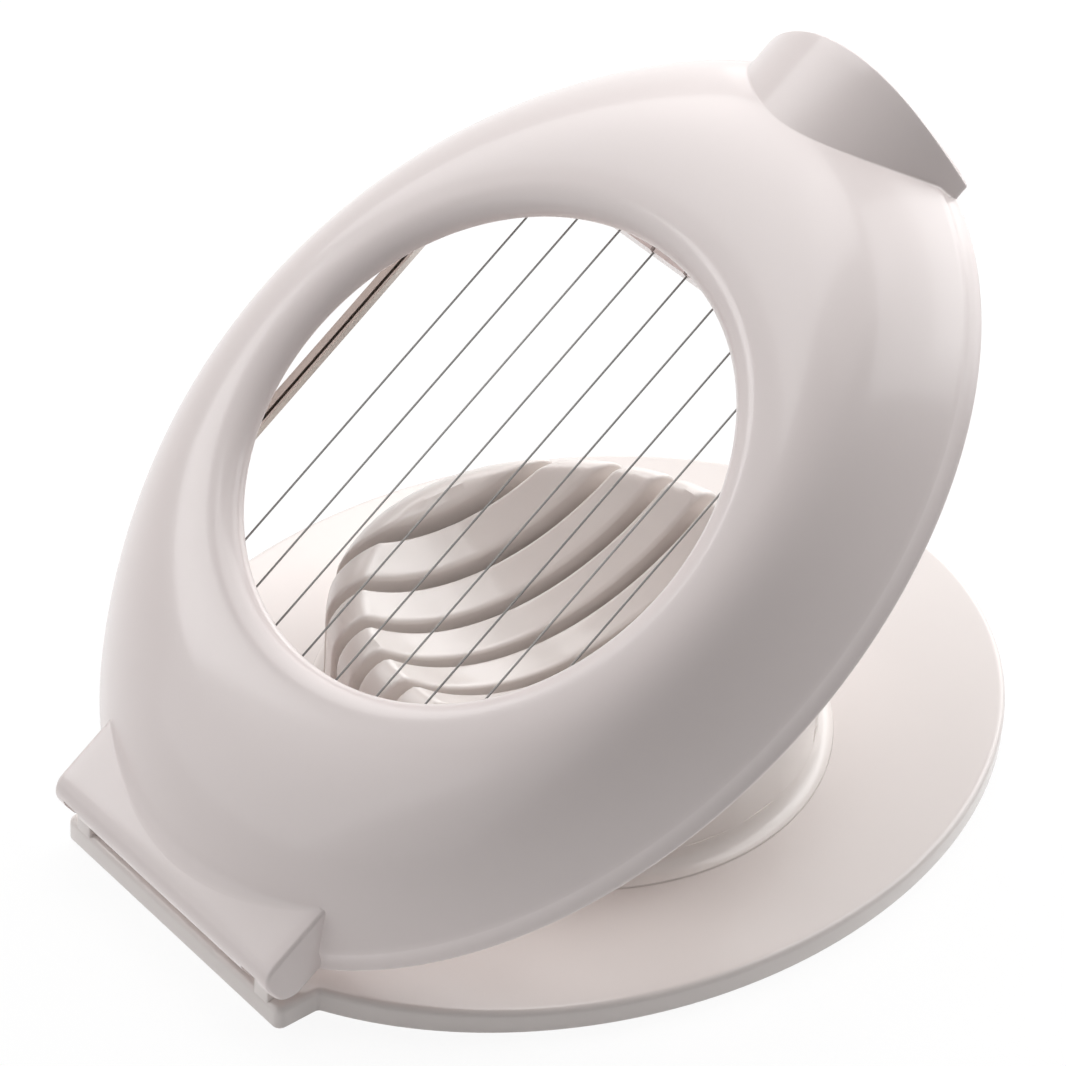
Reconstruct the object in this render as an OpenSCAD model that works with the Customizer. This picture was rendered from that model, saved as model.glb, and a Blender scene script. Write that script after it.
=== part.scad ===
// Slicer for tomatoes and mozzarella: an oval base with a slotted cup, and a hinged lid strung with wires.
// The lid is drawn open at open_angle. Lid pieces are laid out closed and then turned about the hinge pins.

/* [Base] */
// Width of the oval base, across the hinge line
base_w = 150; // [145:1:170]
// Length of the oval base, from the hinge to the thumb hood
base_l = 186.4; // [182:1:210]
// Height of the base
base_h = 5; // [4.6:0.1:6.5]
// Thickness of the base's top skin over its hollow underside
base_skin = 2.6; // [2.4:0.1:3]
// Width of the base's outer wall, which it stands on
base_wall = 3.2; // [2.5:0.1:5]
// Width of the straight hinge tab
tab_w = 64.6; // [62:0.2:70]
// Chamfer on the tab's two corners
tab_chamfer = 0.8; // [0.5:0.1:3]
// Width of the trough under the hinge bar
trough_l = 4.2; // [3:0.1:5]
// Depth of the trough under the hinge bar
trough_depth = 1.4; // [0.6:0.1:1.8]
// Distance of the trough's middle from the hinge pins, towards the cup
trough_shift = 2; // [1.5:0.1:2.5]
// Diameter of the foot pad under the base's middle
foot_pad_d = 18; // [10:1:30]

/* [Cup] */
// Outer diameter of the slotted cup, as a share of the base's width
cup_share = 0.632; // [0.6:0.002:0.64]
// Distance of the cup's axis from the base's centre, towards the thumb hood
cup_y = 1.6; // [0:0.1:3]
// Height of the cup above the base
cup_h = 27.7; // [25:0.1:29]
// Radius of the cup's rounded outer rim
cup_round = 6.5; // [4:0.1:6.8]
// Diameter of the bowl at the cup's rim
bowl_d = 80.8; // [76:0.2:81.6]
// Depth of the bowl
bowl_depth = 15.4; // [13:0.1:15.6]
// How far the cup's foot spreads beyond its wall
foot_spread = 3.2; // [2:0.1:3.4]
// Depth of the seat that the cup stands in
seat_depth = 0.8; // [0.4:0.1:1]
// Gap between the cup's foot and the side of its seat
seat_gap = 0.1; // [0.05:0.05:0.3]
// Height of the foot's straight lip above the base
foot_lip = 0.4; // [0.2:0.1:0.8]
// Width of a wire slot
slot_w = 2.4; // [1.6:0.1:3]
// Height of a slot's floor above the base
slot_floor = 4.6; // [4:0.1:8]

/* [Wires] */
// Distance from one wire to the next
wire_pitch = 9.2; // [8.4:0.05:9.4]
// Diameter of a wire
wire_d = 0.4; // [0.3:0.05:0.6]
// Height of the wires above the table when the lid is closed
wire_z = 15.6; // [15:0.1:16.4]
// Diameter of the bead crimped on each wire end
bead_d = 2; // [1.6:0.1:2.4]
// Length of a bead
bead_l = 2.4; // [1.6:0.1:3]

/* [Lid] */
// How far the lid's rim overhangs the base at each side
lid_over_side = 1.1; // [0.5:0.1:3]
// How far the lid's rim overhangs the base towards the thumb hood and the hinge
lid_over_end = 4.4; // [3:0.1:6]
// Gap between the base and the closed lid's rim
lid_gap = 0.6; // [0.4:0.1:1.5]
// Thickness of the lid's wall
lid_wall = 2.2; // [1.6:0.1:2.6]
// Height of the lip around the lid's rim
lip_h = 3.4; // [2:0.1:4.5]
// How far the lip leans in
lip_in = 1; // [0.4:0.1:2]
// Gap between the cup and the lid's aperture
cup_gap = 1.2; // [0.9:0.1:2]
// Width of the roll from the aperture's edge to the lid's crest
roll_w = 5.4; // [4:0.1:7]
// Height of the roll
roll_h = 3.8; // [2.5:0.1:5]
// Height of the lid's crest above the table when closed
crest_z = 29.8; // [28:0.1:32]
// Fullness of the dome: higher stays high for longer before it falls to the rim
dome_power = 2.56; // [2:0.02:3.2]

/* [Hinge] */
// How far the lid is open in this drawing, in degrees
open_angle = 35.8; // [20:0.1:60]
// Height of the hinge pins above the table
hinge_z = 12.75; // [12:0.05:14]
// Distance of the hinge pins from the tab's end
hinge_inset = 1.5; // [0.5:0.1:2.5]
// Radius of the hinge bar's round back
bar_r = 4.25; // [4.1:0.05:4.8]
// Straight height of the hinge bar's back
bar_straight = 2.3; // [1.4:0.1:2.5]
// Distance of each lug's middle from the slicer's middle
lug_x = 27; // [25:0.1:27.4]
// Width of a lug
lug_w = 4; // [3:0.1:4.6]
// Radius of a lug's round head
lug_r = 2.9; // [2.6:0.05:3]
// Thickness of a lug's neck in front of the pin
neck_front = 2.6; // [2:0.1:2.8]
// Side gap between a lug and the hinge bar
lug_gap = 0.4; // [0.3:0.05:0.6]
// Diameter of a hinge pin
pin_d = 3; // [2.5:0.1:3.2]
// Radial clearance of a pin in the hinge bar
pin_clearance = 0.05; // [0.02:0.01:0.1]
// How far a pin reaches into the hinge bar on each side of a lug
pin_reach = 2.2; // [1.6:0.1:2.4]
// Gap between a pin's outer end and the bottom of its hole
pin_end_gap = 0.2; // [0.1:0.1:0.5]
// Length of the hinge bar's solid web inside each lug
web_l = 3; // [2.4:0.1:4]

/* [Thumb hood] */
// Width of the thumb hood
hood_w = 55; // [50:0.5:58]
// Radius of the hood's arch
hood_r = 30.5; // [29:0.5:34]
// Height of the arch's top above the table when closed
hood_top = 23.3; // [22:0.1:24]
// How far the hood's edge stands out past the lid's rim
hood_over = 1.7; // [1:0.1:5]
// Radius of the hood's edge, seen from above
hood_edge_r = 75; // [65:1:100]
// Thickness of the hood
hood_wall = 2.8; // [2:0.1:3.5]
// Height of the hood's side ends above the lid's rim
hood_lift = 0.2; // [0.1:0.1:1]

/* [Wire frame] */
// Distance from the aperture's edge to a comb's inner face
comb_inset = 0.6; // [0.4:0.1:2]
// Thickness of a comb, along the wires
comb_t = 5; // [4.6:0.1:5.6]
// Height of a comb
comb_h = 4.4; // [4.2:0.1:5]
// Height of a comb's top above the wires
comb_over = 1; // [0.8:0.1:1.4]
// How far a comb's end reaches past the rail
comb_end = 1.2; // [0.8:0.1:1.4]
// Thickness of a comb's end, along the wires
comb_end_t = 2.5; // [2.4:0.1:3]
// Length of the slanted back at each end of a comb
comb_slant = 6; // [4:0.5:8]
// Gap between the frame's corners and the inside of the lid
frame_gap = 0.9; // [0.4:0.1:1.2]
// Width of a wire notch
notch_w = 1; // [0.8:0.1:1.4]
// Gap between a wire and its notch's floor
notch_gap = 0.05; // [0.02:0.01:0.1]
// Width of a rail
rail_w = 2.9; // [2.6:0.1:3.4]
// Height of a rail
rail_h = 1.4; // [1.2:0.1:2]
// How far a rail's end reaches into each comb
rail_tenon = 2; // [1.4:0.1:2]
// Gap around a rail's end in its comb
rail_fit = 0.05; // [0.02:0.01:0.1]
// Width of the groove along a rail's top
groove_w = 0.7; // [0.4:0.1:1]
// Distance from a rail's inner face to the middle of its groove
groove_inset = 0.9; // [0.8:0.05:1.2]
// Depth of the groove along a rail's top
groove_depth = 0.9; // [0.6:0.1:1]
// Distance of a comb screw from the slicer's middle
comb_screw_x = 32.2; // [30:0.1:33]
// Diameter of the lid's screw bosses
boss_d = 6; // [5.6:0.1:6.8]

/* [Screws] */
// Diameter of a screw's shank
screw_d = 2.6; // [2.4:0.1:3]
// Diameter of a screw's head
screw_head_d = 4.6; // [4.4:0.1:5]
// Height of a screw's head
screw_head_h = 1.3; // [1:0.1:1.4]
// Length of a screw under its head
screw_l = 8; // [6:0.5:9]
// Length of the cross recess in a screw's head
drive_l = 2.8; // [2:0.1:3.2]
// Width of the cross recess
drive_w = 0.7; // [0.5:0.1:1]
// Depth of the cross recess
drive_depth = 0.7; // [0.4:0.1:0.8]
// Depth of a screw's hole past its tip
hole_spare = 0.5; // [0.2:0.1:1]
// Diameter of the pads under the base that take the cup's screws
pad_d = 9; // [8:0.1:12]
// Gap around a screw's shank and head
screw_gap = 0.05; // [0.02:0.01:0.2]

/* [Hidden] */
// Curves and lofts
$fn = 96;
oval_n = 96;
ring_n = 72;
roll_n = 5;
dome_n = 10;
step_n = 4;

// How far joined shapes overlap, and how far a cutting shape reaches past what it cuts
overlap = 0.01;
cut = 1;

// Wires, counted from the left side
wire_count = 9;
wire_x = [for (i = [0 : wire_count - 1]) (i - (wire_count - 1) / 2) * wire_pitch];
wire_r = wire_d / 2;

// Base and cup
base_rx = base_w / 2;
base_ry = base_l / 2;
tab_end = base_ry;
cup_d = base_w * cup_share;
cup_r = cup_d / 2;
cup_top = base_h + cup_h;
seat_z = base_h - seat_depth;
bowl_floor = cup_top - bowl_depth;
bowl_rim_r = bowl_d / 2;
bowl_r = (bowl_rim_r * bowl_rim_r + bowl_depth * bowl_depth) / (2 * bowl_depth);
slot_z = base_h + slot_floor;

// Lid, laid out closed
lid_rx = base_rx + lid_over_side;
lid_ry = base_ry + lid_over_end;
lid_y = cup_y;
rim_z = base_h + lid_gap;
bevel_z = rim_z + lip_h;
aperture_r = cup_r + cup_gap;
crest_r = aperture_r + roll_w;
edge_z = crest_z - roll_h;
dome_rx = lid_rx - lip_in;
dome_ry = lid_ry - lip_in;

// Hinge
hinge_y = hinge_inset - tab_end;
bar_half = tab_w / 2;
bar_top = hinge_z + bar_r;
bar_low = hinge_z - bar_straight;
pocket_half = lug_w / 2 + lug_gap;
pin_in = lug_x - pocket_half - pin_reach;
pin_out = lug_x + pocket_half + pin_reach;
web_in = lug_x - pocket_half - web_l;
bar_front = lid_y - crest_r;

// Thumb hood
hood_end = lid_y + lid_ry + hood_over;
hood_l = hood_end - lid_y - crest_r;
hood_low = rim_z + hood_lift;

// Wire frame
comb_top = wire_z + comb_over;
comb_z = comb_top - comb_h;
comb_face = aperture_r + comb_inset;
comb_back = comb_face + comb_t;
comb_corner = comb_face + comb_end_t;
room_rx = crest_r + (dome_rx - crest_r) * dome_share(comb_top) - lid_wall - frame_gap;
room_ry = crest_r + (dome_ry - crest_r) * dome_share(comb_top) - lid_wall - frame_gap;
comb_half = room_rx * sqrt(1 - pow(comb_corner / room_ry, 2));
rail_out = comb_half - comb_end;
rail_in = rail_out - rail_w;
rail_z = comb_top - rail_h;
comb_screw_y = comb_face + comb_t / 2;
screw_r = screw_d / 2;
head_r = screw_head_d / 2;

// Cup screws, each under the middle of a finger
cup_screw_x = 2.5 * wire_pitch;
cup_screw_y = 2.5 * wire_pitch;
cup_screw_z = screw_head_h + screw_gap;

white = [0.93, 0.92, 0.91];
steel = [0.72, 0.73, 0.74];

// An oval outline
function oval(rx, ry, y = 0) =
    [for (i = [0 : oval_n - 1]) [rx * cos(360 * i / oval_n), y + ry * sin(360 * i / oval_n)]];

// How far down the dome a height lies: 0 at the crest, 1 at the bevel
function dome_share(z) = pow(1 - (z - bevel_z) / (crest_z - bevel_z), 1 / dome_power);

// The dome's oval at a height, drawn in by a distance
function dome_oval(z, inset) =
    oval(crest_r + (dome_rx - crest_r) * dome_share(z) - inset,
        crest_r + (dome_ry - crest_r) * dome_share(z) - inset, lid_y);

// Section of the lid's shell as a loop of ovals, each [half width, half length, height]
function roll(r0, top) =
    [for (i = [0 : roll_n]) let(a = 90 * i / roll_n)
        let(r = crest_r - (crest_r - r0) * cos(a)) [r, r, edge_z + (top - edge_z) * sin(a)]];
function dome(inset) =
    [for (i = [1 : dome_n]) let(s = i / dome_n)
        [crest_r + (dome_rx - inset - crest_r) * s, crest_r + (dome_ry - inset - crest_r) * s,
            bevel_z + (crest_z - inset - bevel_z) * (1 - pow(s, dome_power))]];
function backwards(list) = [for (i = [len(list) - 1 : -1 : 0]) list[i]];
shell_loop = concat(roll(aperture_r, crest_z), dome(0),
    [[lid_rx, lid_ry, rim_z], [lid_rx - lid_wall, lid_ry - lid_wall, rim_z]],
    backwards(dome(lid_wall)), backwards(roll(aperture_r + lid_wall, crest_z - lid_wall)));

// A closed ring lofted through a loop of ovals
module oval_ring(loop) {
    count = len(loop);
    points = [for (o = loop) for (i = [0 : ring_n - 1]) let(a = 360 * i / ring_n)
        [o[0] * cos(a), lid_y + o[1] * sin(a), o[2]]];
    quads = [for (k = [0 : count - 1]) for (i = [0 : ring_n - 1])
        let(j = (i + 1) % ring_n, m = (k + 1) % count)
        [k * ring_n + i, k * ring_n + j, m * ring_n + j, m * ring_n + i]];
    faces = [for (q = quads) for (t = [[q[0], q[1], q[2]], [q[0], q[2], q[3]]]) t];
    polyhedron(points, faces);
}

// A cylinder along X, centred on a point of the YZ plane
module rod_x(r, x0, x1, y, z) {
    translate([x0, y, z]) rotate([0, 90, 0]) cylinder(r = r, h = x1 - x0);
}

// A box between two corners
module box(low, high) {
    translate(low) cube(high - low);
}

module both_sides() {
    children();
    mirror([1, 0, 0]) children();
}

// Turns closed lid pieces about the hinge pins
module lid_pose() {
    translate([0, hinge_y, hinge_z]) rotate([open_angle, 0, 0])
        translate([0, -hinge_y, -hinge_z]) children();
}

// A screw with its head's underside at z 0, pointing up
module screw() {
    difference() {
        union() {
            translate([0, 0, -overlap]) cylinder(r = screw_r, h = screw_l + overlap);
            translate([0, 0, -screw_head_h]) cylinder(r = head_r, h = screw_head_h);
        }
        for (a = [0, 90])
            rotate([0, 0, a])
                box([-drive_l / 2, -drive_w / 2, -screw_head_h - cut],
                    [drive_l / 2, drive_w / 2, drive_depth - screw_head_h]);
    }
}

module at_cup_screws() {
    for (x = [-cup_screw_x, cup_screw_x])
        for (y = [-cup_screw_y, cup_screw_y])
            translate([x, cup_y + y, 0]) children();
}

module at_comb_screws() {
    for (x = [-comb_screw_x, comb_screw_x])
        for (y = [-comb_screw_y, comb_screw_y])
            translate([x, lid_y + y, 0]) children();
}

// Base plate with its hinge lugs
module tab_outline() {
    c = tab_chamfer;
    polygon([[-bar_half, 0], [-bar_half, c - tab_end], [c - bar_half, -tab_end],
        [bar_half - c, -tab_end], [bar_half, c - tab_end], [bar_half, 0]]);
}

module lug() {
    x0 = lug_x - lug_w / 2;
    x1 = lug_x + lug_w / 2;
    rod_x(lug_r, x0, x1, hinge_y, hinge_z);
    box([x0, -tab_end, base_h - overlap], [x1, hinge_y + neck_front, hinge_z]);
}

module base_plate() color(white) difference() {
    union() {
        difference() {
            linear_extrude(base_h) union() {
                polygon(oval(base_rx, base_ry));
                tab_outline();
            }
            translate([0, 0, -cut]) linear_extrude(base_h - base_skin + cut)
                polygon(oval(base_rx - base_wall, base_ry - base_wall));
        }
        // Foot pad in the middle and pads for the cup's screws
        cylinder(d = foot_pad_d, h = base_h - base_skin + overlap);
        at_cup_screws() cylinder(d = pad_d, h = base_h - base_skin + overlap);
        both_sides() lug();
    }
    translate([0, cup_y, seat_z]) cylinder(r = cup_r + foot_spread + seat_gap, h = base_h);
    box([-web_in, hinge_y + trough_shift - trough_l / 2, base_h - trough_depth],
        [web_in, hinge_y + trough_shift + trough_l / 2, base_h + cut]);
    at_cup_screws() {
        translate([0, 0, -cut]) cylinder(r = head_r + screw_gap, h = cup_screw_z + cut);
        cylinder(r = screw_r + screw_gap, h = base_h);
    }
    both_sides() rod_x(pin_d / 2, lug_x - lug_w, lug_x + lug_w, hinge_y, hinge_z);
}

// Slotted cup: a turned outline with a spherical bowl, cut by one slot for each wire
module cup_outline() {
    foot_r = cup_r + foot_spread;
    fillet_z = base_h + foot_lip + foot_spread;
    difference() {
        union() {
            translate([0, seat_z]) square([cup_r, cup_top - cup_round - seat_z]);
            translate([0, seat_z]) square([cup_r - cup_round, cup_top - seat_z]);
            translate([cup_r - cup_round, cup_top - cup_round]) circle(cup_round);
            translate([0, seat_z]) square([foot_r, fillet_z - seat_z]);
        }
        translate([foot_r, fillet_z]) circle(foot_spread);
    }
}

module slicing_cup() color(white) difference() {
    translate([0, cup_y, 0]) rotate_extrude() cup_outline();
    translate([0, cup_y, bowl_floor + bowl_r]) sphere(bowl_r);
    for (x = wire_x)
        box([x - slot_w / 2, cup_y - cup_d, slot_z], [x + slot_w / 2, cup_y + cup_d, cup_top + cut]);
    at_cup_screws() cylinder(r = screw_r + screw_gap, h = cup_screw_z + screw_l + hole_spare);
}

module cup_screws() color(steel) at_cup_screws() translate([0, 0, cup_screw_z]) screw();

module hinge_pin() {
    rod_x(pin_d / 2, pin_in, pin_out - pin_end_gap, hinge_y, hinge_z);
}

module hinge_pin_right() color(steel) hinge_pin();

module hinge_pin_left() color(steel) mirror([1, 0, 0]) hinge_pin();

// Hinge bar along the lid's back, open underneath between its two webs
module hinge_bar() {
    back = hinge_y - bar_r;
    difference() {
        union() {
            rod_x(bar_r, -bar_half, bar_half, hinge_y, hinge_z);
            rod_x(bar_r, -bar_half, bar_half, hinge_y, bar_low);
            box([-bar_half, back, bar_low], [bar_half, hinge_y, hinge_z]);
            box([-bar_half, hinge_y, bar_low - bar_r], [bar_half, bar_front, bar_top]);
        }
        inside_dome(bar_low - bar_r, bar_top);
        box([-web_in, back + lid_wall, 0], [web_in, bar_front, bar_top - lid_wall]);
    }
}

// Steps that clear a piece from the inside of the dome, between two heights
module inside_dome(low, high) {
    from = max(bevel_z, low);
    for (i = [1 : step_n])
        let(z = from + (high - from) * i / step_n)
            translate([0, 0, low - cut]) linear_extrude(z - low + cut + overlap)
                polygon(dome_oval(z, lid_wall / 2));
}

// Arched thumb hood over the lid's front
module thumb_hood() {
    difference() {
        intersection() {
            translate([0, hood_end, hood_top - hood_r]) rotate([90, 0, 0]) cylinder(r = hood_r, h = hood_l);
            translate([0, hood_end - hood_edge_r, 0]) cylinder(r = hood_edge_r, h = crest_z);
            box([-hood_w / 2, hood_end - hood_l, hood_low], [hood_w / 2, hood_end, crest_z]);
        }
        translate([0, hood_end + cut, hood_top - hood_r]) rotate([90, 0, 0])
            cylinder(r = hood_r - hood_wall, h = hood_l + 2 * cut);
        inside_dome(hood_low, hood_top);
    }
}

// Boss that hangs from the lid's wall to a comb's top
module comb_boss() {
    translate([0, 0, comb_top]) cylinder(d = boss_d, h = crest_z - lid_wall / 2 - comb_top);
}

module lid_shell() color(white) lid_pose() difference() {
    union() {
        difference() {
            oval_ring(shell_loop);
            box([-bar_half, lid_y - lid_ry - cut, 0], [bar_half, hinge_y, crest_z]);
        }
        hinge_bar();
        thumb_hood();
        at_comb_screws() comb_boss();
    }
    both_sides() lug_pocket();
    at_comb_screws() translate([0, 0, comb_z])
        cylinder(r = screw_r + screw_gap, h = screw_l + hole_spare);
}

// Space in the hinge bar for a lug and its pin, from closed to fully open
module lug_pocket() {
    x0 = lug_x - pocket_half;
    x1 = lug_x + pocket_half;
    rod_x(lug_r + lug_gap, x0, x1, hinge_y, hinge_z);
    box([x0, hinge_y - bar_r - cut, 0], [x1, hinge_y + neck_front + lug_gap, hinge_z]);
    box([x0, hinge_y - bar_r - cut, 0], [x1, hinge_y, hinge_z + hinge_inset + lug_gap]);
    rod_x(pin_d / 2 + pin_clearance, web_in - cut, pin_out, hinge_y, hinge_z);
}

// Notched comb, drawn for the front
module comb() {
    difference() {
        translate([0, lid_y, comb_z]) linear_extrude(comb_h)
            polygon([[-comb_half, comb_face], [comb_half, comb_face], [comb_half, comb_corner],
                [comb_half - comb_slant, comb_back], [comb_slant - comb_half, comb_back],
                [-comb_half, comb_corner]]);
        for (x = wire_x)
            box([x - notch_w / 2, lid_y + comb_face - cut, wire_z - wire_r - notch_gap],
                [x + notch_w / 2, lid_y + comb_back + cut, comb_top + cut]);
        both_sides()
            box([rail_in - rail_fit, lid_y + comb_face - cut, rail_z - rail_fit],
                [rail_out + rail_fit, lid_y + comb_face + rail_tenon, comb_top + cut]);
        at_comb_screws() translate([0, 0, comb_z - cut])
            cylinder(r = screw_r + screw_gap, h = comb_h + 2 * cut);
    }
}

module front_wire_comb() color(white) lid_pose() comb();

module rear_wire_comb() color(white) lid_pose()
    translate([0, 2 * lid_y, 0]) mirror([0, 1, 0]) comb();

// Steel rail from comb to comb, with a groove along its top
module rail() {
    reach = comb_face + rail_tenon - rail_fit;
    middle = rail_in + groove_inset;
    difference() {
        box([rail_in, lid_y - reach, rail_z], [rail_out, lid_y + reach, comb_top]);
        box([middle - groove_w / 2, lid_y - reach - cut, comb_top - groove_depth],
            [middle + groove_w / 2, lid_y + reach + cut, comb_top + cut]);
    }
}

module right_side_rail() color(steel) lid_pose() rail();

module left_side_rail() color(steel) lid_pose() mirror([1, 0, 0]) rail();

module comb_screws() color(steel) lid_pose() at_comb_screws() translate([0, 0, comb_z]) screw();

// One wire with a bead crimped on at each end, behind its comb
module cutting_wire(i) {
    end_y = comb_back + notch_gap;
    color(steel) lid_pose() translate([wire_x[i], lid_y, wire_z]) rotate([-90, 0, 0]) {
        translate([0, 0, -end_y - bead_l]) cylinder(r = wire_r, h = 2 * (end_y + bead_l));
        translate([0, 0, end_y]) cylinder(d = bead_d, h = bead_l);
        translate([0, 0, -end_y - bead_l]) cylinder(d = bead_d, h = bead_l);
    }
}

base_plate();
slicing_cup();
cup_screws();
hinge_pin_left();
hinge_pin_right();
lid_shell();
front_wire_comb();
rear_wire_comb();
left_side_rail();
right_side_rail();
comb_screws();
cutting_wire(0);  // cutting_wire_1
cutting_wire(1);  // cutting_wire_2
cutting_wire(2);  // cutting_wire_3
cutting_wire(3);  // cutting_wire_4
cutting_wire(4);  // cutting_wire_5
cutting_wire(5);  // cutting_wire_6
cutting_wire(6);  // cutting_wire_7
cutting_wire(7);  // cutting_wire_8
cutting_wire(8);  // cutting_wire_9
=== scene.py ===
import math

import bmesh
import bpy
import numpy as np
from mathutils import Matrix, Vector


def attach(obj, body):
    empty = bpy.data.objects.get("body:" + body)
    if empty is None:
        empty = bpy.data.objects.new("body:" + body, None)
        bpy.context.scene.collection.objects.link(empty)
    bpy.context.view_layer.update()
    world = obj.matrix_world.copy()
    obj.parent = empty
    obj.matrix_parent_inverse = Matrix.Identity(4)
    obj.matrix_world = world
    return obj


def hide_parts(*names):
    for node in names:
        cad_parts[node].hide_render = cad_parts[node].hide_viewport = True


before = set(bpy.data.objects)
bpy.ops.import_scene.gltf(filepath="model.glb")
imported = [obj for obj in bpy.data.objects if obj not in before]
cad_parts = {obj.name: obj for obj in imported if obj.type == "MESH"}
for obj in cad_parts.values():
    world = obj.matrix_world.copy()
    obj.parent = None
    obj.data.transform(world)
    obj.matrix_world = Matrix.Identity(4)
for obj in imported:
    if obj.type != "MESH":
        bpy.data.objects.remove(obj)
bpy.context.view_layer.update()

# Sizes in millimetres, the same as the CAD model's
MM = 0.001
BASE_RX, BASE_RY, BASE_H = 75.0, 93.2, 5.0
BASE_SKIN, BASE_WALL = 2.6, 3.2
TAB_HALF, TAB_INNER_ROUND = 32.3, 1.2
TROUGH_HALF, TROUGH_LOW, TROUGH_HIGH, TROUGH_DEPTH = 21.6, -91.8, -87.6, 1.4
CUP_R, CUP_Y, CUP_TOP, CUP_ROUND = 47.4, 1.6, 32.7, 6.5
BOWL_RIM_R, BOWL_DEPTH = 40.4, 15.4
FOOT_SPREAD, FOOT_LIP, SEAT_Z, SEAT_GAP = 3.2, 0.4, 4.2, 0.1
SLOT_W, SLOT_Z = 2.4, 9.6
WIRE_COUNT, WIRE_PITCH = 9, 9.2
LID_RX, LID_RY, LID_Y = 76.1, 97.6, 1.6
RIM_Z, BEVEL_Z, EDGE_Z, CREST_Z = 5.6, 9.0, 26.0, 29.8
LID_WALL, LIP_IN = 2.2, 1.0
APERTURE_R, CREST_R, DOME_POWER = 48.6, 54.0, 2.56
DOME_RX, DOME_RY = LID_RX - LIP_IN, LID_RY - LIP_IN
OPEN_ANGLE, HINGE_Y, HINGE_Z = 35.8, -91.7, 12.75
BAR_R, BAR_LOW, BAR_TOP = 4.25, 10.45, 17.0
LUG_X, LUG_W, LUG_R, LUG_GAP, NECK_FRONT = 27.0, 4.0, 2.9, 0.4, 2.6
POCKET_HALF, PIN_R, PIN_OUT = 2.4, 1.55, 31.6
HOOD_HALF, HOOD_R, HOOD_TOP, HOOD_WALL = 27.5, 30.5, 23.3, 2.8
HOOD_LOW, HOOD_END, HOOD_EDGE_R = 5.8, 100.9, 75.0
COMB_TOP, COMB_SCREW_X, COMB_SCREW_Y = 16.6, 32.2, 51.7
BOSS_R, SCREW_HOLE_R, SCREW_HOLE_TOP = 3.0, 1.35, 20.7
PAD_R, FOOT_PAD_R, HEAD_HOLE_R, HEAD_HOLE_Z = 4.5, 9.0, 2.35, 1.35

# Sizes in millimetres of the finer forms that the CAD model leaves out or draws sharper
FLARE_Z, FLARE_END, FLARE_POWER = 9.8, 6.2, 2.5
RIM_ROUND, RIM_INNER_ROUND, APERTURE_DROP = 0.4, 0.5, 0.7
BLEND_END, BLEND_MIDDLE, BLEND_POWER, BLEND_MARGIN, BLEND_SINK = 1.0, 7.0, 1.5, 1.2, 0.5
BAR_EDGE, DOME_CUT_IN, DOME_CUT_FRONT = 0.8, 0.3, 0.2
HOOD_CORNER, HOOD_EDGE, HOOD_BLEND = 0.5, 0.4, 0.7
TAB_ROUND, PLATE_LOW_EDGE, PLATE_TOP_EDGE, PLATE_FLAT_IN = 1.7, 0.5, 1.3, 1.7
LUG_EDGE, LUG_ROOT, PAD_ROOT = 0.35, 0.6, 0.4
SLOT_EDGE = 0.9

# The camera, fitted to the photograph's ovals
VIEW_TURN, VIEW_RISE, VIEW_ROLL = 47.816, 38.415, 3.939
VIEW_PX_PER_MM, VIEW_DISTANCE = 5.205, 918.3
VIEW_SHIFT = (5.545, -38.478)
IMAGE_PX = 1066
SENSOR_MM, CLIP_NEAR, CLIP_FAR = 36.0, 0.05, 20

# Lamps in metres and watts: turn to the right from the camera's side, rise, width, height and power
LAMP_AIM, LAMP_DISTANCE = 0.05, 1.3
LAMPS = {
    "back_high": (210, 54, 1.2, 1.2, 10.2),
    "top": (150, 72, 0.8, 0.8, 1.4),
    "left_back": (257, 32, 0.35, 0.35, 1.5),
    "left": (284, 18, 1.0, 1.0, 2.5),
    "front_left": (318, 14, 1.0, 1.0, 1.2),
    "right_back": (116, 42, 1.0, 1.0, 6.2),
    "back_right": (136, 22, 1.6, 0.9, 6.2),
    "back_low": (156, 12, 1.2, 0.7, 2.6),
}
FLOOR_RADIUS, FLOOR_Z, FLOOR_GLOW, FLOOR_LIT = 6, -0.0002, 0.91, 0.12
TABLE_WHITE, TABLE_GLOW = 0.9, 0.2
ROOM_COLOUR, ROOM_LEVEL = (1.0, 0.985, 0.97, 1), 0.01

# Surface settings
PLASTIC_ROUGHNESS, STEEL_ROUGHNESS = 0.3, 0.36
# RAIL_CREVICE is how far, in metres, the painted groove shade on the rails reaches.
STEEL_GRAIN, RAIL_CREVICE = (1.0, 0.05, 0.05), 0.001


# Outlines and lofts
def loft(rings, closed=False):
    """Quads between equal rings of points, with a flat cap at each end unless they close on themselves."""
    n = len(rings[0])
    count = len(rings)
    verts = np.concatenate([np.asarray(r, float) for r in rings])
    faces = []
    for k in range(count if closed else count - 1):
        m = (k + 1) % count
        for i in range(n):
            j = (i + 1) % n
            faces.append((k * n + i, k * n + j, m * n + j, m * n + i))
    if not closed:
        faces.append(tuple(range(n)))
        faces.append(tuple((count - 1) * n + i for i in range(n)))
    return verts, faces


def turned(profile, n=96, centre=(0.0, 0.0)):
    """A solid of revolution about Z from [radius, height] pairs that start and end on the axis."""
    inner = profile[1:-1]
    verts, faces = [], []
    for r, z in inner:
        for i in range(n):
            a = 2 * math.pi * i / n
            verts.append((centre[0] + r * math.cos(a), centre[1] + r * math.sin(a), z))
    for k in range(len(inner) - 1):
        for i in range(n):
            j = (i + 1) % n
            faces.append((k * n + i, k * n + j, (k + 1) * n + j, (k + 1) * n + i))
    faces.append(tuple(range(n)))
    faces.append(tuple((len(inner) - 1) * n + i for i in range(n)))
    return np.array(verts), faces


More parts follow.
